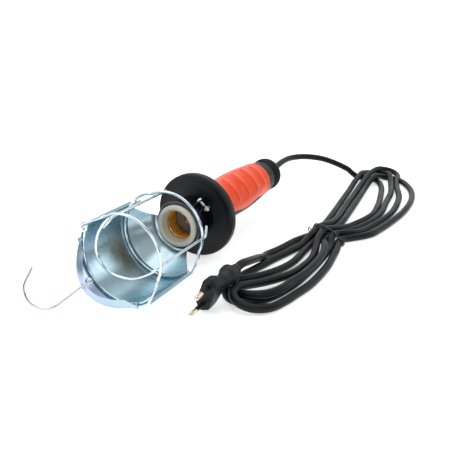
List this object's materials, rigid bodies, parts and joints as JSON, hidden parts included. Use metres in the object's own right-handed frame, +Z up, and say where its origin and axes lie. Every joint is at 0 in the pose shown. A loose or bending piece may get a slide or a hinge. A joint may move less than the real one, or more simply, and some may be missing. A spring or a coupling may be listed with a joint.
{
  "type": "hand inspection lamp",
  "caption": "Corded hand inspection lamp: rubber grip, disc guard, porcelain screw lampholder, half-round reflector, hinged wire guard, swivel hook and two-pin plug.",
  "frame": {"origin": "on the surface that the lamp lies on, below the centre of the bounding box of the lamp without its lead", "axes": "+X along the lamp from the hook to where the lead leaves, +Z up as it lies, rolled so that the reflector opens up and towards -Y"},
  "size_m": [0.5647, 0.227, 0.0842],
  "materials": {
    "black_plastic": "matte black moulded handle plastic",
    "gloss_black": "glossy black lampholder moulding",
    "black_rubber": "black rubber",
    "orange_rubber": "satin orange-red soft grip",
    "porcelain": "cream-grey glazed porcelain",
    "brass": "plain brass",
    "copper": "reddish copper alloy spring strip",
    "fibre": "buff insulating fibre plate",
    "bright_steel": "nickel-plated steel",
    "zinc_wire": "bright zinc-plated wire with a blue tint",
    "blue_sheet": "zinc-plated sheet with a blue and violet passivated tint",
    "cable_sheath": "satin black cable sheath",
    "tie_black": "black plastic-covered tie wire",
    "brown_core": "brown core insulation",
    "blue_core": "blue core insulation"
  },
  "bodies": {
    "lamp": {"handle_core": "black_plastic", "end_cap": "black_plastic", "cord_clamp_seat": "black_plastic", "plug_body": "black_plastic", "plug_pin_sleeve_1": "black_plastic", "plug_pin_sleeve_2": "black_plastic", "disc_guard": "black_plastic", "hub_sleeve": "gloss_black", "lip_ring": "gloss_black", "plug_relief": "gloss_black", "cord_gland": "black_rubber", "grip_cover": "orange_rubber", "porcelain_body": "porcelain", "brass_shell": "brass", "terminal_nut_1": "brass", "terminal_nut_2": "brass", "plug_pin_1": "brass", "plug_pin_2": "brass", "centre_contact": "copper", "side_contact": "copper", "contact_plate": "fibre", "clamp_screw": "bright_steel", "clamp_nut": "bright_steel", "lock_screw": "bright_steel", "neck_strap": "bright_steel", "cord_clamp_bar": "bright_steel", "cord_clamp_screw_1": "bright_steel", "cord_clamp_screw_2": "bright_steel", "terminal_screw_1": "bright_steel", "terminal_screw_2": "bright_steel", "front_hoop": "zinc_wire", "rear_hoop": "zinc_wire", "reflector_trough": "blue_sheet", "reflector_rear": "blue_sheet", "cord_lead": "cable_sheath", "cord_hank": "cable_sheath", "cord_tail": "cable_sheath", "lead_inner_end": "cable_sheath", "cord_tie": "tie_black", "live_core": "brown_core", "neutral_core": "blue_core"},
    "guard": {"front_arch": "zinc_wire", "rear_arch": "zinc_wire", "far_run": "zinc_wire", "near_run_and_nose": "zinc_wire"},
    "hook": {"hook": "zinc_wire"}
  },
  "joints": [
    {"name": "guard_hinge", "type": "hinge", "parent": "lamp", "child": "guard", "pos_m": [-0.09069, 0.02015, 0.0655], "axis": [-1, 0, 0], "range_deg": [0, 110]},
    {"name": "hook_swivel", "type": "hinge", "parent": "lamp", "child": "hook", "pos_m": [-0.13829, 0.01711, 0.01743], "axis": [-0.6469, 0.5467, -0.5316], "continuous": true}
  ]
}
